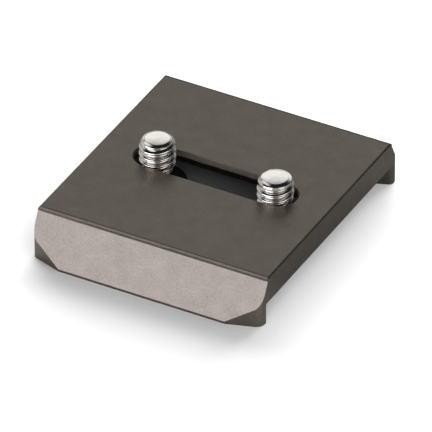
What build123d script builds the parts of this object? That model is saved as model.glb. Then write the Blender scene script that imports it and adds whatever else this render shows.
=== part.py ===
from build123d import *
import os
from math import cos, radians, sin, tan

# Tripod quick release plate with two camera screws.
# X runs along the slot and along the feet, Y across the feet, Z up to the camera face.
# The origin is under the middle of the plate, on the surface that the feet stand on.
# All sizes are in millimetres.

# Plate, overall
face_length = 43.0        # camera face along the slot
face_depth = 44.0         # camera face across the feet
foot_width = 52.0         # over the two feet at their outer bottom edges
foot_thickness = 5.8      # one foot, from the channel to its outer bottom edge
height = 8.6
web = 4.8                 # metal between the camera face and the channel below
edge_chamfer = 0.25       # broken edge round the camera face
rim_band = 0.43           # narrow upright band under that broken edge, front and back
foot_band = 0.45          # narrow upright band along the outer bottom edge of each foot

# Lead-in at both ends of the feet
nose_set_back = 1.95      # from a foot's outer edge in to where its outer taper meets the end face
lead_angle = 18.2         # outer taper, seen from above
nose_radius = 1.6
end_flat = 0.15           # flat left on a foot's end between its outer and its inner round
mouth_radius = 0.8
mouth_angle = 22.0        # inner taper, seen from above
channel_corner = 0.5      # inner corner between the web and a foot

# Screw slot and the wider groove for the heads under it
slot_clearance = 0.175    # each side of a thread
groove_clearance = 1.75   # each side of a washer
end_wall = 3.0            # metal between the groove and the plate's ends
lip = 1.1                 # metal left above the groove
slot_edge = 0.12          # broken edge of the slot at the camera face

# Camera screws
thread_diameter = 6.35    # quarter inch, twenty threads to the inch
tip_flat = 4.0            # flat on the end of the screw
crown_diameter = 5.8      # where the shallow crown round that flat ends
crown_rise = 0.35
lead_in = 1.48            # from the tip down to the full thread
full_thread = 1.85
fade_diameter = 6.2       # where the last shallow threads end
fade = 1.55
run_out = 2.3             # cone from there down to the neck
neck_diameter = 4.2
head_diameter = 9.7
head_height = 2.4
head_edge = 0.3
coin_slot_width = 1.6
coin_slot_depth = 1.1
knurl_count = 36
knurl_depth = 0.22

# Soft washers on the heads
washer_overhang = 0.1     # past the head all round
washer_thickness = 1.0
washer_edge = 0.12
neck_clearance = 0.05     # radial, washer bore over the neck
seat_clearance = 0.05     # washer above the head

# Cutting and picking
overrun = 1.0             # how far a cutting shape passes the metal that it cuts
near = 0.01               # how close an edge must lie to the place it is picked by

# Where the two screws stand
left_gap = 0.8            # from the centre of the slot's left end to the left screw's axis
right_gap = 0.6           # the same at the right end
right_stand = 3.23        # the right screw's tip above the camera face
left_lift = 0.53          # the left screw stands this much higher than the right
table_clearance = 0.1     # right head above the surface that the feet stand on

# What follows from them
washer_diameter = head_diameter + 2 * washer_overhang
slot_width = thread_diameter + 2 * slot_clearance
groove_width = washer_diameter + 2 * groove_clearance
slot_run = face_length - 2 * end_wall - groove_width      # between the centres of the two round ends
right_base = table_clearance
left_base = right_base + left_lift
shank = height + right_stand - right_base - head_height   # a screw from its tip down to its head


def plan_prism(points, low, high):
    """An upright prism on a closed outline of (x, y) points."""
    outline = make_face(Polyline(*points, close=True))
    return extrude(outline.moved(Location((0, 0, low))), high - low, dir=(0, 0, 1))


def stadium(run, width, low, high):
    """An upright prism with round ends, long axis along X."""
    outline = SlotCenterToCenter(run, width)
    return extrude(outline.moved(Location((0, 0, low))), high - low, dir=(0, 0, 1))


def section_prism():
    """The plate's section across the feet, carried along X: upright bands and sloping flanks."""
    half_face = face_depth / 2
    half_foot = foot_width / 2
    half = [
        (half_face - edge_chamfer, height),
        (half_face, height - edge_chamfer),
        (half_face, height - edge_chamfer - rim_band),
        (half_foot, foot_band),
        (half_foot, 0.0),
    ]
    outline = half + [(-y, z) for y, z in reversed(half)]
    points = [(-face_length / 2, y, z) for y, z in outline]
    return extrude(make_face(Polyline(*points, close=True)), face_length, dir=(1, 0, 0))


def foot_lead_in():
    """Upright prism that the section is cut to: full width in the middle, tapered and rounded at the ends."""
    half_length = face_length / 2
    nose_y = foot_width / 2 - nose_set_back
    reach = foot_width / 2 + overrun
    inset = (reach - nose_y) / tan(radians(lead_angle))
    quarter = [
        (half_length, nose_y),
        (half_length - inset, reach),
    ]
    outline = (
        quarter
        + [(-x, y) for x, y in reversed(quarter)]
        + [(-x, -y) for x, y in quarter]
        + [(x, -y) for x, y in reversed(quarter)]
    )
    body = plan_prism(outline, 0.0, height)
    noses = body.edges().filter_by(Axis.Z).group_by(lambda e: abs(e.center().X))[-1]
    return fillet(noses, nose_radius)


def channel():
    """The space between the feet, up to the underside of the web, flared and rounded out at both ends."""
    half_length = face_length / 2
    half_channel = foot_width / 2 - foot_thickness
    slope = radians(mouth_angle)
    # how much of the foot's end the outer round takes
    nose_round = nose_radius * tan(radians(90 - lead_angle) / 2)
    # the round between the inner taper and the end face: its centre, its two ends and its middle
    centre_x = half_length - mouth_radius
    centre_y = foot_width / 2 - nose_set_back - nose_round - end_flat
    start = (centre_x + mouth_radius * sin(slope), centre_y - mouth_radius * cos(slope))
    half_turn = (radians(90) - slope) / 2
    middle = (centre_x + mouth_radius * cos(half_turn), centre_y - mouth_radius * sin(half_turn))
    # where the inner taper starts, on the channel's straight side
    knee_x = start[0] - (start[1] - half_channel) / tan(slope)
    past = half_length + overrun
    edges = []
    for sy in (1, -1):
        edges.append(Line((-knee_x, sy * half_channel), (knee_x, sy * half_channel)))
        for sx in (1, -1):
            edges.append(Line((sx * knee_x, sy * half_channel), (sx * start[0], sy * start[1])))
            edges.append(ThreePointArc(
                (sx * start[0], sy * start[1]),
                (sx * middle[0], sy * middle[1]),
                (sx * half_length, sy * centre_y),
            ))
            edges.append(Line((sx * half_length, sy * centre_y), (sx * past, sy * centre_y)))
    for sx in (1, -1):
        edges.append(Line((sx * past, centre_y), (sx * past, -centre_y)))
    under = height - web
    outline = make_face(edges)
    cutter = extrude(outline.moved(Location((0, 0, -overrun))), under + overrun, dir=(0, 0, 1))
    corners = [
        e for e in cutter.edges().filter_by(Axis.X)
        if abs(e.center().Z - under) < near and abs(abs(e.center().Y) - half_channel) < near
    ]
    return fillet(corners, channel_corner)


def make_plate():
    """One machined piece: dovetail section, tapered feet, channel, slot and head groove."""
    body = section_prism() & foot_lead_in()
    body -= channel()
    body -= stadium(slot_run, slot_width, -overrun, height + overrun)
    body -= stadium(slot_run, groove_width, -overrun, height - lip)
    # broken edges: the two ends of the camera face, and the slot's mouth
    top = body.faces().sort_by(Axis.Z)[-1]
    ends = [e for e in top.outer_wire().edges() if abs(abs(e.center().X) - face_length / 2) < near]
    mouth = top.inner_wires()[0].edges()
    body = chamfer(ends, edge_chamfer)
    mouth_edges = [
        e for e in body.edges()
        if abs(e.center().Z - height) < near and any((e.center() - m.center()).length < near for m in mouth)
    ]
    return chamfer(mouth_edges, slot_edge)


def make_screw(x, base):
    """A turned screw: crowned tip, thread at its outer diameter, run-out, neck and knurled slotted head."""
    tip = base + head_height + shank
    full_top = tip - lead_in
    full_end = full_top - full_thread
    fade_end = full_end - fade
    neck_top = fade_end - run_out
    head_top = base + head_height
    radius = thread_diameter / 2
    outline = [
        (0, 0, base),
        (head_diameter / 2 - head_edge, 0, base),
        (head_diameter / 2, 0, base + head_edge),
        (head_diameter / 2, 0, head_top - head_edge / 2),
        (head_diameter / 2 - head_edge / 2, 0, head_top),
        (neck_diameter / 2, 0, head_top),
        (neck_diameter / 2, 0, neck_top),
        (fade_diameter / 2, 0, fade_end),
        (radius, 0, full_end),
        (radius, 0, full_top),
        (crown_diameter / 2, 0, tip - crown_rise),
        (tip_flat / 2, 0, tip),
        (0, 0, tip),
    ]
    body = revolve(make_face(Polyline(*outline, close=True)), Axis.Z)
    across = head_diameter + 2 * overrun
    coin = Box(across, coin_slot_width, coin_slot_depth, align=(Align.CENTER, Align.CENTER, Align.MIN))
    body -= coin.moved(Location((0, 0, base)))
    # straight knurl: shallow upright notches all round the head
    notch = Polyline(
        (head_diameter / 2 - knurl_depth, 0, base - overrun),
        (head_diameter / 2 + knurl_depth, 2 * knurl_depth, base - overrun),
        (head_diameter / 2 + knurl_depth, -2 * knurl_depth, base - overrun),
        close=True,
    )
    cutter = extrude(make_face(notch), head_height + 2 * overrun, dir=(0, 0, 1))
    body -= [cutter.rotate(Axis.Z, 360 * (k + 0.5) / knurl_count) for k in range(knurl_count)]
    return body.moved(Location((x, 0, 0)))


def make_washer(x, base):
    """A soft flat ring on the head, turning freely on the screw's neck."""
    inner = neck_diameter / 2 + neck_clearance
    outer = washer_diameter / 2
    low = base + head_height + seat_clearance
    high = low + washer_thickness
    outline = [
        (inner, 0, low),
        (outer - washer_edge, 0, low),
        (outer, 0, low + washer_edge),
        (outer, 0, high - washer_edge),
        (outer - washer_edge, 0, high),
        (inner, 0, high),
    ]
    return revolve(make_face(Polyline(*outline, close=True)), Axis.Z).moved(Location((x, 0, 0)))


left_x = left_gap - slot_run / 2
right_x = slot_run / 2 - right_gap

parts = {
    "plate": make_plate(),
    "left_screw": make_screw(left_x, left_base),
    "right_screw": make_screw(right_x, right_base),
    "left_washer": make_washer(left_x, left_base),
    "right_washer": make_washer(right_x, right_base),
}

os.makedirs("parts", exist_ok=True)
for name, shape in parts.items():
    export_step(shape, f"parts/{name}.step")
    box = shape.bounding_box()
    print(f"{name}: volume {shape.volume:.1f} mm3, from {tuple(round(v, 2) for v in box.min)}"
          f" to {tuple(round(v, 2) for v in box.max)}")
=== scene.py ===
from math import cos, pi, radians, sin, tan

import bpy
import numpy as np
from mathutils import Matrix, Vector


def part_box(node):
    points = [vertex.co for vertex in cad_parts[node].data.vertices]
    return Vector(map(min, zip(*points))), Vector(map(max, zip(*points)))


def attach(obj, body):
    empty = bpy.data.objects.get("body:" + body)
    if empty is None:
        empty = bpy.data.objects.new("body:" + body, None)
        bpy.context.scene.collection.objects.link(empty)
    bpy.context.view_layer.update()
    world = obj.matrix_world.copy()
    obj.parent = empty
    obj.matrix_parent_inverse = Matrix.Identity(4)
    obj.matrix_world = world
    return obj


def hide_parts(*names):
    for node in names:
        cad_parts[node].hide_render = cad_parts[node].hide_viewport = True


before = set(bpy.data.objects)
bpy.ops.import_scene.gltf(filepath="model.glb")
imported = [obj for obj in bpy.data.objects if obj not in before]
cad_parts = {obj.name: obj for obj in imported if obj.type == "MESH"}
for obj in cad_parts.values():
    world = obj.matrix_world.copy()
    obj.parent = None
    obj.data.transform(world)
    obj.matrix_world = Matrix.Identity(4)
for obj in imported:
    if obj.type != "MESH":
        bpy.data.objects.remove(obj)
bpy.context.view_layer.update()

# Plate
# One piece of extruded and milled aluminium: a dovetail with tapered feet, a slot for the screws
# and a wider groove for their heads. It is bead blasted and anodised a dark brown grey.

mm = 0.001


def grain_group():
    """Mottling of a surface from two noises in space. Shade is 1 plus each noise, less its mean, times its
    contrast; Fine is the small noise alone, for relief."""
    group = bpy.data.node_groups.new("surface_grain", "ShaderNodeTree")
    wanted = (("Fine Size", 0.2), ("Fine Contrast", 0.1), ("Broad Size", 2.0), ("Broad Contrast", 0.05))
    for socket, value in wanted:
        made = group.interface.new_socket(socket, in_out="INPUT", socket_type="NodeSocketFloat")
        made.default_value = value
    for socket in ("Shade", "Fine"):
        group.interface.new_socket(socket, in_out="OUTPUT", socket_type="NodeSocketFloat")
    nodes, links = group.nodes, group.links
    inputs = nodes.new("NodeGroupInput")
    outputs = nodes.new("NodeGroupOutput")
    place = nodes.new("ShaderNodeTexCoord")
    terms = []
    for name in ("Fine", "Broad"):
        # sizes are in millimetres and the coordinates in metres
        scale = nodes.new("ShaderNodeMath")
        scale.operation = "DIVIDE"
        scale.inputs[0].default_value = 1 / mm
        links.new(inputs.outputs[name + " Size"], scale.inputs[1])
        noise = nodes.new("ShaderNodeTexNoise")
        noise.inputs["Detail"].default_value = 2.0
        links.new(place.outputs["Object"], noise.inputs["Vector"])
        links.new(scale.outputs[0], noise.inputs["Scale"])
        centred = nodes.new("ShaderNodeMath")
        centred.operation = "SUBTRACT"
        centred.inputs[1].default_value = 0.5
        links.new(noise.outputs["Fac"], centred.inputs[0])
        term = nodes.new("ShaderNodeMath")
        term.operation = "MULTIPLY"
        links.new(centred.outputs[0], term.inputs[0])
        links.new(inputs.outputs[name + " Contrast"], term.inputs[1])
        terms.append(term)
        if name == "Fine":
            links.new(noise.outputs["Fac"], outputs.inputs["Fine"])
    both = nodes.new("ShaderNodeMath")
    links.new(terms[0].outputs[0], both.inputs[0])
    links.new(terms[1].outputs[0], both.inputs[1])
    shade = nodes.new("ShaderNodeMath")
    shade.inputs[1].default_value = 1.0
    links.new(both.outputs[0], shade.inputs[0])
    links.new(shade.outputs[0], outputs.inputs["Shade"])
    return group


grain = grain_group()


def grained_material(name, colour, sizes, contrasts, relief):
    """A Principled material whose base colour is one colour times the grain's shade, with the fine grain as
    relief of the given height in millimetres. Gives the material and its shader."""
    material = bpy.data.materials.new(name)
    material.use_nodes = True
    nodes, links = material.node_tree.nodes, material.node_tree.links
    shader = nodes["Principled BSDF"]
    mottle = nodes.new("ShaderNodeGroup")
    mottle.node_tree = grain
    mottle.inputs["Fine Size"].default_value, mottle.inputs["Broad Size"].default_value = sizes
    mottle.inputs["Fine Contrast"].default_value, mottle.inputs["Broad Contrast"].default_value = contrasts
    tint = nodes.new("ShaderNodeVectorMath")
    tint.name = "tint"
    tint.operation = "SCALE"
    tint.inputs[0].default_value = colour
    links.new(mottle.outputs["Shade"], tint.inputs["Scale"])
    links.new(tint.outputs[0], shader.inputs["Base Color"])
    bump = nodes.new("ShaderNodeBump")
    bump.inputs["Distance"].default_value = relief * mm
    links.new(mottle.outputs["Fine"], bump.inputs["Height"])
    links.new(bump.outputs["Normal"], shader.inputs["Normal"])
    return material, shader


anodised, anodised_shader = grained_material(
    "anodised_aluminium", (0.174, 0.151, 0.128), sizes=(0.22, 2.5), contrasts=(0.75, 0.3), relief=0.028)
anodised_shader.inputs["Metallic"].default_value = 1.0

nodes, links = anodised.node_tree.nodes, anodised.node_tree.links
place = nodes.new("ShaderNodeSeparateXYZ")
links.new(nodes.new("ShaderNodeTexCoord").outputs["Object"], place.inputs[0])


def figured(operation, first, second=0.0):
    """A Math node's result of two values, each a number or a node's value."""
    node = nodes.new("ShaderNodeMath")
    node.operation = operation
    for socket, value in zip(node.inputs, (first, second)):
        if isinstance(value, float):
            socket.default_value = value
        else:
            links.new(value, socket)
    return node.outputs[0]


def out_along(axis):
    """How far a point lies from the origin along an axis, to either side."""
    return figured("ABSOLUTE", place.outputs[axis])


def either(mask, outside, inside):
    """One of two numbers: the first where the mask is 0, the second where it is 1."""
    step = nodes.new("ShaderNodeMapRange")
    step.inputs["To Min"].default_value = outside
    step.inputs["To Max"].default_value = inside
    links.new(mask, step.inputs["Value"])
    return step.outputs["Result"]


# the slot's wall is left as milled, much rougher up and down than the blasted faces
blasted, as_milled = 0.40, 0.85
slot_half_length, slot_half_width, below_face = 15.3 * mm, 3.36 * mm, 8.59 * mm
in_slot = figured("LESS_THAN", out_along("X"), slot_half_length)
for axis, limit in (("Y", slot_half_width), ("Z", below_face)):
    in_slot = figured("MULTIPLY", in_slot, figured("LESS_THAN", out_along(axis), limit))
links.new(either(in_slot, blasted, as_milled), anodised_shader.inputs["Roughness"])

# front and back, painted shade darkens a line of the camera face along its edge, a painted highlight
# brightens the broken edge beside it and painted shade dulls the upright band under that; at the two ends
# painted shade darkens the broken edge. Each strip is an axis, how far out and how high it starts, and its
# tone
edge_highlight_and_shade = (("Y", 21.42 * mm, 8.59 * mm, 0.58), ("Y", 21.76 * mm, 8.355 * mm, 1.75),
               ("Y", 21.99 * mm, 7.93 * mm, 0.85), ("X", 21.26 * mm, 8.355 * mm, 0.6))
tint_scale = nodes["tint"].inputs["Scale"]
shade = tint_scale.links[0].from_socket
for axis, out, height, tone in edge_highlight_and_shade:
    painted_strip = figured("MULTIPLY", figured("GREATER_THAN", out_along(axis), out),
                    figured("GREATER_THAN", out_along("Z"), height))
    shade = figured("MULTIPLY", shade, either(painted_strip, 1.0, tone))
links.new(shade, tint_scale)

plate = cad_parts["plate"]
plate.data.materials.clear()
plate.data.materials.append(anodised)

# Screw washers
# Soft black rings, punched from sheet, that sit on the screws' heads and keep them from marking the
# plate. They turn freely on the screws' necks.

rubber, rubber_shader = grained_material(
    "washer_rubber", (0.006, 0.006, 0.006), sizes=(0.15, 1.5), contrasts=(0.4, 0.2), relief=0.01)
rubber_shader.inputs["Roughness"].default_value = 0.65
rubber_shader.inputs["Specular IOR Level"].default_value = 0.2

for name in ("left_washer", "right_washer"):
    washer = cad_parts[name]
    washer.data.materials.clear()
    washer.data.materials.append(rubber)

# Camera screws
# Quarter inch camera screws, turned from stainless steel bar, thread rolled, head knurled and slotted for
# a coin, then polished. They stand loose in the slot on their heads.

steel, steel_shader = grained_material(
    "polished_steel", (0.78, 0.75, 0.70), sizes=(0.9, 1.5), contrasts=(0.15, 0.2), relief=0.012)
steel_shader.inputs["Metallic"].default_value = 1.0
steel_shader.inputs["Roughness"].default_value = 0.09

pitch = 25.4 * mm / 20
thread_radius = 3.175 * mm
thread_depth = 0.74 * mm
crest_land = 0.08 * mm         # half the width of a crest
crest_stand = 0.02 * mm        # how far a crest would stand out of the blank, which cuts it off
crest_round, root_round = 0.22 * mm, 0.15 * mm
thread_join = 0.12 * mm        # rounding where the thread's grooves meet the blank
crown_round, shoulder_round, small_round = 0.2 * mm, 0.1 * mm, 0.05 * mm
neck_round = 0.2 * mm
tip_radius = 1.97 * mm
tip_dome = 0.05 * mm           # how much lower the tip's rim is than its middle
shoulder_end = (2.98 * mm, 0.75 * mm)   # radius and depth where the shoulder meets the lead-in cone
lead_in_end = 1.64 * mm        # depth where that cone reaches the full thread
fade_start = 3.3 * mm          # the thread is full to here,
fade_end = 4.88 * mm           # slightly tapered to here,
fade_radius = 3.1 * mm
run_out_end = 7.18 * mm        # and from there a cone goes down to the neck
neck_radius = 2.1 * mm
head_height = 2.4 * mm
head_edge = 0.3 * mm
knurls = 36
knurl_depth = 0.22 * mm
coin_slot = (1.6 * mm, 1.1 * mm)        # width and depth
columns = 6 * knurls
first_step = 0.02 * mm         # from the tip's rim to the first ring of the skin,
ring_step = 0.03 * mm          # and from there between two rings, down to the neck
small_step = 0.1 * mm          # from the neck's foot out and up to its last ring


def rounded_least(a, b, radius):
    """The smaller of two values, with the corner between them rounded: the smaller one less the square of
    what their difference lacks of a given width, over four times that width."""
    near = np.maximum(radius - np.abs(a - b), 0.0)
    return np.minimum(a, b) - near * near / (4 * radius)


def through(depth, start, end):
    """The straight line through two points given as radius and depth, at the depths asked."""
    return start[0] + (end[0] - start[0]) * (depth - start[1]) / (end[1] - start[1])


def screw_outline(depth, crown_end):
    """Radius of the blank at a depth under the tip: the least of the crown, the shoulder, the lead-in
    cone, the full cylinder and the two run-out cones, rounded where they meet, and nowhere less than the
    neck."""
    crown = through(depth, (tip_radius, tip_dome), crown_end)
    outline = rounded_least(crown, through(depth, crown_end, shoulder_end), crown_round)
    lead_in = through(depth, shoulder_end, (thread_radius, lead_in_end))
    outline = rounded_least(outline, lead_in, shoulder_round)
    outline = rounded_least(outline, np.full_like(depth, thread_radius), small_round)
    for start, end in (((thread_radius, fade_start), (fade_radius, fade_end)),
                       ((fade_radius, fade_end), (neck_radius, run_out_end))):
        outline = rounded_least(outline, through(depth, start, end), small_round)
    return -rounded_least(-outline, np.full_like(depth, -neck_radius), neck_round)


def screw_thread(depth, angle, crest):
    """Radius of the thread at a depth under the tip and an angle round the screw: a V groove of sixty
    degrees between crests that climb one pitch in a turn, with rounded crests and roots. The cut is how
    far a point lies off the crest, over the tangent of half that angle, and no more than the thread's
    depth."""
    turns = (crest - depth) / pitch - angle / (2 * pi)
    off_crest = np.abs(turns - np.round(turns)) * pitch
    cut = (off_crest - crest_land) / tan(radians(30))
    cut = -rounded_least(-cut, np.zeros_like(cut), crest_round)
    return thread_radius + crest_stand - rounded_least(cut, np.full_like(cut, thread_depth), root_round)


def ring_mesh(name, rings, first, last):
    """A closed skin over rings of points, an array of rings by columns by three, with a pole at each
    end."""
    count, around = rings.shape[:2]
    points = np.concatenate([rings.reshape(-1, 3), [first, last]])
    ring, column = np.meshgrid(np.arange(count - 1), np.arange(around), indexing="ij")
    right = (column + 1) % around
    quads = np.stack([ring * around + column, (ring + 1) * around + column,
                      (ring + 1) * around + right, ring * around + right], -1).reshape(-1, 4)
    here, there = np.arange(around), (np.arange(around) + 1) % around
    pole = count * around
    start = np.stack([np.full(around, pole), here, there], -1)
    base = (count - 1) * around
    end = np.stack([np.full(around, pole + 1), base + there, base + here], -1)
    mesh = bpy.data.meshes.new(name)
    mesh.from_pydata(points.tolist(), [], quads.tolist() + start.tolist() + end.tolist())
    mesh.update()
    piece = bpy.data.objects.new(name, mesh)
    bpy.context.scene.collection.objects.link(piece)
    return piece


def camera_screw(node, crown_end, crest, facing):
    """The screw that stands for a CAD node: rings from the middle of the tip down over the crown, the
    thread and the neck, and over the knurled head to the middle of its underside. crown_end is the radius
    and the depth where the shallow crown ends, and crest the depth of the first whole crest on the side
    that faces the given angle. Depths are in metres from the tip."""
    low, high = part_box(node)
    axis = Vector(((low.x + high.x) / 2, (low.y + high.y) / 2))
    head_radius = (high.x - low.x) / 2
    angle = np.arange(columns) * 2 * pi / columns
    shank = high.z - low.z - head_height

    share = np.linspace(0.1, 1, 10)[:, None]
    tip = share * tip_radius * np.ones(columns)
    depth = np.concatenate([np.arange(tip_dome + first_step, run_out_end, ring_step),
                            [run_out_end, shank - small_step]])[:, None]
    turned = rounded_least(screw_outline(depth, crown_end) * np.ones(columns),
                           screw_thread(depth, angle - facing, crest), thread_join)

    # each head ring is a radius and a height above the underside; the knurl's notches reach the outer ones
    side = np.array([
        (neck_radius + small_step, head_height), (head_radius - head_edge, head_height),
        (head_radius - head_edge / 2, head_height), (head_radius, head_height - head_edge / 2),
        (head_radius, head_edge), (head_radius - head_edge, 0),
        (head_radius * 0.6, 0), (head_radius * 0.2, 0)])
    off_notch = np.abs((angle * knurls / (2 * pi)) % 1 - 0.5) * 2 * pi * head_radius / knurls
    notch = head_radius - np.maximum(knurl_depth - off_notch, 0)
    head = np.minimum(side[:, :1] * np.ones(columns), notch)

    radius = np.concatenate([tip, turned, head])
    height = np.concatenate([high.z - tip_dome * share ** 2, high.z - depth, low.z + side[:, 1:]])
    rings = np.stack([axis.x + radius * np.cos(angle), axis.y + radius * np.sin(angle),
                      height * np.ones(columns)], -1)
    screw = ring_mesh(node + "_steel", rings, (axis.x, axis.y, high.z), (axis.x, axis.y, low.z))

    # the coin slot is milled across the underside
    width, deep = coin_slot
    past_head = 1 * mm
    half = Vector((head_radius + past_head, width / 2, deep))
    corners = [(axis.x + sx * half.x, axis.y + sy * half.y, low.z + sz * half.z)
               for sx in (-1, 1) for sy in (-1, 1) for sz in (-1, 1)]
    sides = [(0, 1, 3, 2), (4, 6, 7, 5), (0, 4, 5, 1), (2, 3, 7, 6), (0, 2, 6, 4), (1, 5, 7, 3)]
    cutter_mesh = bpy.data.meshes.new("coin_slot")
    cutter_mesh.from_pydata(corners, [], sides)
    cutter = bpy.data.objects.new("coin_slot", cutter_mesh)
    bpy.context.scene.collection.objects.link(cutter)
    cut = screw.modifiers.new("coin_slot", "BOOLEAN")
    cut.operation = "DIFFERENCE"
    cut.object = cutter
    milled = bpy.data.meshes.new_from_object(screw.evaluated_get(bpy.context.evaluated_depsgraph_get()))
    screw.modifiers.clear()
    screw.data = milled
    bpy.data.objects.remove(cutter)

    milled.materials.clear()
    milled.materials.append(steel)
    milled.shade_smooth()
    sharp_edge = radians(40)
    milled.set_sharp_from_angle(angle=sharp_edge)
    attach(screw, node)
    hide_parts(node)
    return screw


view_azimuth = radians(28.27)
front_angle = view_azimuth - pi / 2
left_screw = camera_screw("left_screw", (2.6 * mm, 0.21 * mm), crest=1.25 * mm, facing=front_angle)
right_screw = camera_screw("right_screw", (2.78 * mm, 0.22 * mm), crest=1.78 * mm, facing=front_angle)

# Floor
# A pale seamless sheet, which the camera sees as white away from the object's shadow. It is darker to metal
# that mirrors it, and under the plate its colour is darkened as painted shade, where little light reaches
# it.

half_floor = 0.6
floor_mesh = bpy.data.meshes.new("floor")
floor_corners = ((-half_floor, -half_floor, 0), (half_floor, -half_floor, 0),
                 (half_floor, half_floor, 0), (-half_floor, half_floor, 0))
floor_mesh.from_pydata(floor_corners, [], [(0, 1, 2, 3)])
floor = bpy.data.objects.new("floor", floor_mesh)
bpy.context.scene.collection.objects.link(floor)

paper = bpy.data.materials.new("white_sheet")
paper.use_nodes = True
nodes, links = paper.node_tree.nodes, paper.node_tree.links
nodes.remove(nodes["Principled BSDF"])
sheet = nodes.new("ShaderNodeBsdfDiffuse")
path = nodes.new("ShaderNodeLightPath")
place = nodes.new("ShaderNodeSeparateXYZ")
links.new(nodes.new("ShaderNodeTexCoord").outputs["Object"], place.inputs[0])


def ramped(value, start, end, low, high):
    """A smooth step of a node's value, from low at start to high at end."""
    step = nodes.new("ShaderNodeMapRange")
    step.interpolation_type = "SMOOTHSTEP"
    for socket, number in (("From Min", start), ("From Max", end), ("To Min", low), ("To Max", high)):
        step.inputs[socket].default_value = number
    links.new(value, step.inputs["Value"])
    return step.outputs["Result"]


def chosen(factor, low, high):
    """A blend of two values, each a number or a node's value: the first where the factor is 0, the second
    where it is 1."""
    mix = nodes.new("ShaderNodeMix")
    links.new(factor, mix.inputs["Factor"])
    for socket, value in (("A", low), ("B", high)):
        if isinstance(value, float):
            mix.inputs[socket].default_value = value
        else:
            links.new(value, mix.inputs[socket])
    return mix.outputs["Result"]


pale = 0.8                            # to the camera
before_it, behind_it = 0.58, 0.19     # to every other ray, in front of the plate and behind it
at_left, at_right = 0.015, 0.3        # what is kept of either under the plate, at its left and at its right
tone = chosen(path.outputs["Is Camera Ray"],
              ramped(place.outputs["Y"], -32 * mm, -8 * mm, before_it, behind_it), pale)
# painted shade: under the plate the sheet's colour drops almost to black at its left end, to 0.3 at its
# right
painted_shade_under_plate = figured(
    "MULTIPLY",
    figured("MULTIPLY", ramped(place.outputs["X"], -22 * mm, -20.4 * mm, 0.0, 1.0),
            ramped(place.outputs["X"], 17 * mm, 19 * mm, 1.0, 0.0)),
    figured("MULTIPLY", ramped(place.outputs["Y"], -23 * mm, -21 * mm, 0.0, 1.0),
            ramped(place.outputs["Y"], 21 * mm, 23 * mm, 1.0, 0.0)))
kept = chosen(painted_shade_under_plate, 1.0, ramped(place.outputs["X"], -19 * mm, -6 * mm, at_left, at_right))
links.new(figured("MULTIPLY", tone, kept), sheet.inputs["Color"])
links.new(sheet.outputs[0], nodes["Material Output"].inputs["Surface"])
floor_mesh.materials.append(paper)

# Studio
# What metal mirrors: a grey room with a dark ceiling, a large soft lamp low at the front left for the
# front flank, and smaller ones all round for the screws. The rest is lit by a soft glow from the right
# and by a lamp behind that lays the shadow towards the viewer.

world = bpy.data.worlds.new("studio")
bpy.context.scene.world = world
world.use_nodes = True
nodes, links = world.node_tree.nodes, world.node_tree.links
backdrop = nodes["Background"]
backdrop.inputs["Color"].default_value = (1, 1, 1, 1)
path = nodes.new("ShaderNodeLightPath")
direction = nodes.new("ShaderNodeTexCoord").outputs["Generated"]


def toward_point(point):
    """How nearly a direction looks towards a point: the cosine of the angle between them."""
    product = nodes.new("ShaderNodeVectorMath")
    product.operation = "DOT_PRODUCT"
    links.new(direction, product.inputs[0])
    product.inputs[1].default_value = Vector(point).normalized()
    return product.outputs["Value"]


def patch(toward, full, gone):
    """How much of a soft round patch of light a direction sees, from the two angles off its middle at
    which it is still full and at which it is gone."""
    return ramped(toward_point(toward), cos(radians(gone)), cos(radians(full)), 0.0, 1.0)


def dimmed(toward, full, gone, level):
    """What is left of the light round a direction: the given level up to the first angle off it, and all
    of it from the second angle on."""
    return ramped(toward_point(toward), cos(radians(gone)), cos(radians(full)), 1.0, level)


up = (0, 0, 1)
softbox = figured("MULTIPLY", patch((-0.39, -0.88, 0.26), 15, 38), dimmed(up, 55, 68, 0.0))
softbox_level, wall_level, ceiling_level = 3.9, 0.32, 0.05
mirrored = figured("ADD", figured("MULTIPLY", softbox, softbox_level), wall_level)
# a level, a direction, and the angles at which it is full and gone: front right, back, left and back right
small_lamps = ((1.3, (0.81, -0.3, 0.4), 12, 32), (0.8, (-0.39, 0.72, 0.43), 8, 25),
               (0.35, (-1, 0, 0.1), 15, 40), (1.4, (0.64, 0.77, 0.05), 4, 13))
for level, toward, full, gone in small_lamps:
    mirrored = figured("ADD", mirrored, figured("MULTIPLY", patch(toward, full, gone), level))
mirrored = figured("MULTIPLY", mirrored, dimmed(up, 41, 58, ceiling_level))
# the screws' tips mirror a lamp high at the left, and their rims a dim part of the back right
tip_lamp_level, dim_level = 0.9, 0.25
mirrored = figured("ADD", mirrored,
                   figured("MULTIPLY", patch((-0.56, 0.32, 0.77), 5, 15), tip_lamp_level))
mirrored = figured("MULTIPLY", mirrored, dimmed((0.6, 0.68, 0.5), 13, 28, dim_level))
glow_level = 2.4
glow = figured("MULTIPLY", patch((0.94, -0.34, 0.45), 20, 85), glow_level)
glow = figured("MULTIPLY", glow, dimmed(up, 28, 40, ceiling_level))
seen = figured("MAXIMUM", path.outputs["Is Camera Ray"], path.outputs["Is Transmission Ray"])
lit = chosen(path.outputs["Is Glossy Ray"], glow, mirrored)
links.new(chosen(seen, lit, 1.0), backdrop.inputs["Strength"])

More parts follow.
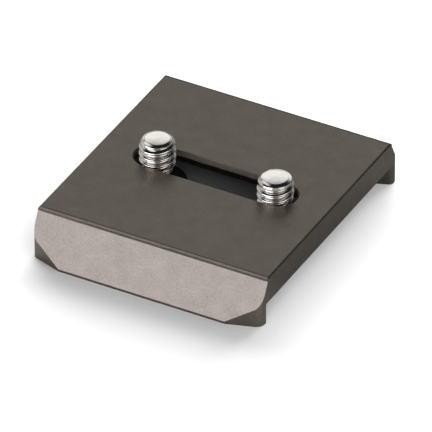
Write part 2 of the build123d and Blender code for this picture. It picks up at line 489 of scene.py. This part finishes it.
# the large lamp is a little cooler than the rest
tint = nodes.new("ShaderNodeMix")
tint.data_type = "RGBA"
tint.inputs["A"].default_value = (1, 1, 1, 1)
cool_white = (0.98, 1.0, 1.13, 1)
tint.inputs["B"].default_value = cool_white
links.new(figured("MULTIPLY", softbox, path.outputs["Is Glossy Ray"]), tint.inputs["Factor"])
links.new(tint.outputs["Result"], backdrop.inputs["Color"])

# the lamp that casts the shadow is one that the metal doesn't mirror
lamp = bpy.data.lights.new("back_lamp", "AREA")
lamp.shape = "RECTANGLE"
lamp.size, lamp.size_y = 1.2, 0.8
lamp.energy = 27.0
lamp_distance = 0.8
holder = bpy.data.objects.new("back_lamp", lamp)
toward_lamp = Vector((-0.317, 0.871, 0.375)).normalized()
holder.location = toward_lamp * lamp_distance
holder.rotation_euler = toward_lamp.to_track_quat("Z", "Y").to_euler()
holder.visible_glossy = False
bpy.context.scene.collection.objects.link(holder)

# Camera
# A long lens, three quarters from the front right and above, aimed so that the plate stands where the
# photograph has it.

view_elevation = radians(35.05)
distance = 1.656
picture = 432                      # the photograph's width and height in pixels
pixels_per_metre = 6030            # at the middle of the camera face
face_at = Vector((215.27, 174.27))  # where the photograph shows that middle

plate_low, plate_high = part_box("plate")
face_middle = Vector((0, 0, plate_high.z))
toward = Vector((sin(view_azimuth) * cos(view_elevation), -cos(view_azimuth) * cos(view_elevation),
                 sin(view_elevation)))
across = Vector((cos(view_azimuth), sin(view_azimuth), 0))
upward = toward.cross(across)
middle = (picture - 1) / 2
aim = face_middle + (across * (middle - face_at.x) + upward * (face_at.y - middle)) / pixels_per_metre

lens = bpy.data.cameras.new("camera")
lens.sensor_width = 36
lens.lens = pixels_per_metre * distance / picture * lens.sensor_width
lens.clip_end = 20
camera = bpy.data.objects.new("camera", lens)
camera.location = face_middle + toward * distance
camera.rotation_euler = (camera.location - aim).to_track_quat("Z", "Y").to_euler()
bpy.context.scene.collection.objects.link(camera)
bpy.context.scene.camera = camera
bpy.context.scene.view_settings.view_transform = "Standard"
